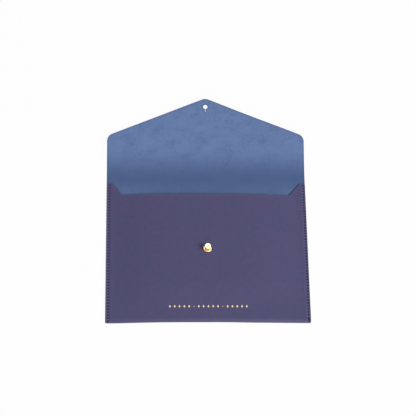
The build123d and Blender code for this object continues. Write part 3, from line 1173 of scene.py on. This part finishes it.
# Foil marks, lying in their pressed places
def foilPiece():
    points, faces, count = [], [], 0
    atSide, atTop = foilLine["cornerRadii"]
    rows = len(foilLine["domed"])
    for at, dot in zip(markXs, isDot):
        if dot:
            turns = np.linspace(0, 2 * math.pi, 24, endpoint=False)
            loop = np.stack([np.cos(turns), np.sin(turns)], 1) * foilLine["dot"] / 2
        else:
            corners = [(halfLong, 0, atSide, True), (0, halfHigh, atTop, True)]
            corners += [(-halfLong, 0, atSide, True), (0, -halfHigh, atTop, True)]
            loop = outline(corners)[0]
        for scale, under in foilLine["domed"]:
            plan = loop * scale + np.array([at, foilY])
            depth = np.full(len(plan), foilLine["foilUnder"] + under)
            points.append(onFront(plan[:, 0], plan[:, 1], depth))
        size = len(loop)
        faces += [(a, d, c, b) for a, b, c, d in bandFaces(count, rows, size)]
        faces.append(tuple(range(count, count + size)))
        count += rows * size
        faces.append(tuple(range(count - size, count))[::-1])
    piece = meshObject("foilLine", np.concatenate(points), faces, [goldFoil], sharp=50)
    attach(piece, "pouch")
    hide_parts("foil_marks")


foilPiece()
print("foil line stamped")

# Stud, turned from its profile
stud = {
    "flangeThickness": 0.8 * mm,
    "footRadius": 0.12 * mm,  # rounding of the flange's foot and of its top edge
    "edgeRadius": 0.35 * mm,
    "dish": ((1.1 * mm, 0.01 * mm), (0.6 * mm, 0.03 * mm)),  # in from the rim, out from the neck; up
    "fillet": 0.3 * mm,
    "neckRadius": 2 * mm,
    "neckLength": 2.6 * mm,
    "headRadius": 3.75 * mm,
    "flatRadius": 3.2 * mm,
    "dimpleRadius": 1.6 * mm,
    "dimpleDepth": 0.35 * mm,
    "dimpleLip": 0.06 * mm,
    "shadeRun": 2 * mm,  # height above the neck's top over which the painted shade under the head fades, and the brass turns bright and smooth
    "turns": 96,
}


def arcPoints(centre, radius, start, end, steps):
    return [
        (centre[0] + radius * math.cos(a), centre[1] + radius * math.sin(a))
        for a in np.linspace(math.radians(start), math.radians(end), steps)
    ]


def studProfile():  # (radius, height) from the foot up to the dimple's middle
    base, top = studLow.z, studHigh.z
    flange = base + stud["flangeThickness"]
    neckTop = flange + stud["neckLength"]
    ballZ = neckTop + math.sqrt(stud["headRadius"] ** 2 - stud["neckRadius"] ** 2)
    low = math.degrees(math.asin((neckTop - ballZ) / stud["headRadius"]))
    high = math.degrees(math.acos(stud["flatRadius"] / stud["headRadius"]))
    foot, edge, fillet, neck = (stud[k] for k in ("footRadius", "edgeRadius", "fillet", "neckRadius"))
    (outside, outsideUp), (inside, insideUp) = stud["dish"]
    profile = [(0, base)]
    profile += arcPoints((flangeRadius - foot, base + foot), foot, -90, 0, 4)
    profile += arcPoints((flangeRadius - edge, flange - edge), edge, 0, 80, 7)
    profile += [(flangeRadius - outside, flange + outsideUp), (neck + inside, flange + insideUp)]
    profile += arcPoints((neck + fillet, flange + insideUp + fillet), fillet, 260, 180, 6)
    profile += [(neck, neckTop - 0.25 * mm)]
    profile += arcPoints((0, ballZ), stud["headRadius"], low + 4, high - 4, 22)
    profile += [(stud["flatRadius"] * 0.97, top - 0.03 * mm), (stud["flatRadius"] * 0.86, top)]
    dimple, dip, lip = stud["dimpleRadius"], stud["dimpleDepth"], stud["dimpleLip"]
    profile += [(dimple + 0.15 * mm, top), (dimple, top - lip)]
    for k in (0.9, 0.75, 0.5, 0.25):
        profile.append((dimple * k, top - dip * (1 - k**2) - lip * k))
    return profile + [(0, top - dip)]


def lathe(name, profile, x, y, turns, material):
    rows = profile[1:-1]
    points, faces = [], bandFaces(0, len(rows), turns)
    for radius, height in rows:
        for k in range(turns):
            angle = 2 * math.pi * k / turns
            points.append((x + radius * math.cos(angle), y + radius * math.sin(angle), height))
    low, high = len(points), len(points) + 1
    points += [(x, y, profile[0][1]), (x, y, profile[-1][1])]
    last = (len(rows) - 1) * turns
    for k in range(turns):
        faces.append((low, (k + 1) % turns, k))
        faces.append((high, last + k, last + (k + 1) % turns))
    points = np.array(points)
    radius, height = np.hypot(points[:, 0] - x, points[:, 1] - y), points[:, 2] - profile[0][1]
    # painted shade under the head, fading up the ball, and less of it in the dimple
    under = 1 - smooth(stud["neckLength"], stud["neckLength"] + stud["shadeRun"], height)
    dimple = (radius < stud["dimpleRadius"]) * (height > stud["neckLength"])
    marks = {shadeMark: np.maximum(under, dimple * 0.6)}
    return meshObject(name, points, faces, [material], marks=marks, sharp=38)


ballStud = lathe("ballStud", studProfile(), 0, studY, stud["turns"], polishedBrass)
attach(ballStud, "pouch")
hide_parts("stud")

screw = frame["nodes"]["stud_screw"]  # its CAD shape is right, and gets the same brass
screw.data.materials.clear()
screw.data.materials.append(polishedBrass)
print("stud turned")

# Studio: pale floor, even light, a soft key from the right front, and softboxes in front and overhead
studio = {
    "skyStrength": 0.22,
    "floorSize": 6.0,
    "floorGap": 0.02 * mm,
    "floorColour": (0.9, 0.9, 0.9),
    "whiteShare": 0.95,  # of the floor that the camera sees as plain white
}
lamps = {  # place in metres, size in metres, watts
    "key": ((4.90, -2.25, 5.90), 5.1, 500.0),
    "front": ((-0.20, -4.20, 2.60), 2.0, 36.0),
    "overhead": ((0.07, 0.50, 1.40), 0.55, 1.15),
}


def background():
    paint = Paint(bpy.data.worlds.new("studio"))
    strength = paint.between(paint.looked(), 0, 1, studio["skyStrength"], 1)
    sky = paint.node("ShaderNodeBackground", {}, {"Color": (1, 1, 1, 1), "Strength": strength})
    paint.node("ShaderNodeOutputWorld", {}, {"Surface": sky})
    scene.world = paint.owner


def floorMaterial():
    paint = Paint(bpy.data.materials.new("floor"))
    paper = paint.node("ShaderNodeBsdfDiffuse", {}, {"Color": (*studio["floorColour"], 1)})
    white = paint.node("ShaderNodeEmission", {}, {"Color": (1, 1, 1, 1), "Strength": 1.0})
    share = paint.looked() * studio["whiteShare"]
    surface = paint.node("ShaderNodeMixShader", {}, {0: share, 1: paper, 2: white})
    paint.node("ShaderNodeOutputMaterial", {}, {"Surface": surface})
    return paint.owner


background()
half = studio["floorSize"] / 2
under = cadLow.z - studio["floorGap"]
floor = meshObject(
    "floor",
    [(-half, -half, under), (half, -half, under), (half, half, under), (-half, half, under)],
    [(0, 1, 2, 3)],
    [floorMaterial()],
)

for name, (place, size, power) in lamps.items():
    data = bpy.data.lights.new(name, "AREA")
    data.shape = "DISK"
    data.size = size
    data.energy = power
    lamp = bpy.data.objects.new(name, data)
    scene.collection.objects.link(lamp)
    lamp.location = place
    lamp.rotation_euler = (-Vector(place)).to_track_quat("-Z", "Y").to_euler()

# Camera, fitted to the photograph
photo = {
    "turn": -9.278,  # degrees round the vertical
    "elevation": 69.616,
    "roll": 8.891,
    "distance": 1.4383,
    "lens": 108.945,
    "target": (1.715 * mm, 53.514 * mm, 0),
}


def photoCamera():
    turn, elevation, roll = (math.radians(photo[k]) for k in ("turn", "elevation", "roll"))
    level = Vector((math.cos(turn), math.sin(turn), 0))
    behind = Vector((math.sin(turn), -math.cos(turn), 0))
    back = behind * math.cos(elevation) + Vector((0, 0, math.sin(elevation)))
    upward = back.cross(level)
    right = level * math.cos(roll) + upward * math.sin(roll)
    up = upward * math.cos(roll) - level * math.sin(roll)
    data = bpy.data.cameras.new("photoCamera")
    data.lens = photo["lens"]
    made = bpy.data.objects.new("photoCamera", data)
    scene.collection.objects.link(made)
    turned = Matrix((right, up, back)).transposed().to_4x4()
    place = Vector(photo["target"]) + back * photo["distance"]
    made.matrix_world = Matrix.Translation(place) @ turned
    return made


scene.camera = photoCamera()
scene.view_settings.view_transform = "Standard"
print("studio and camera set")
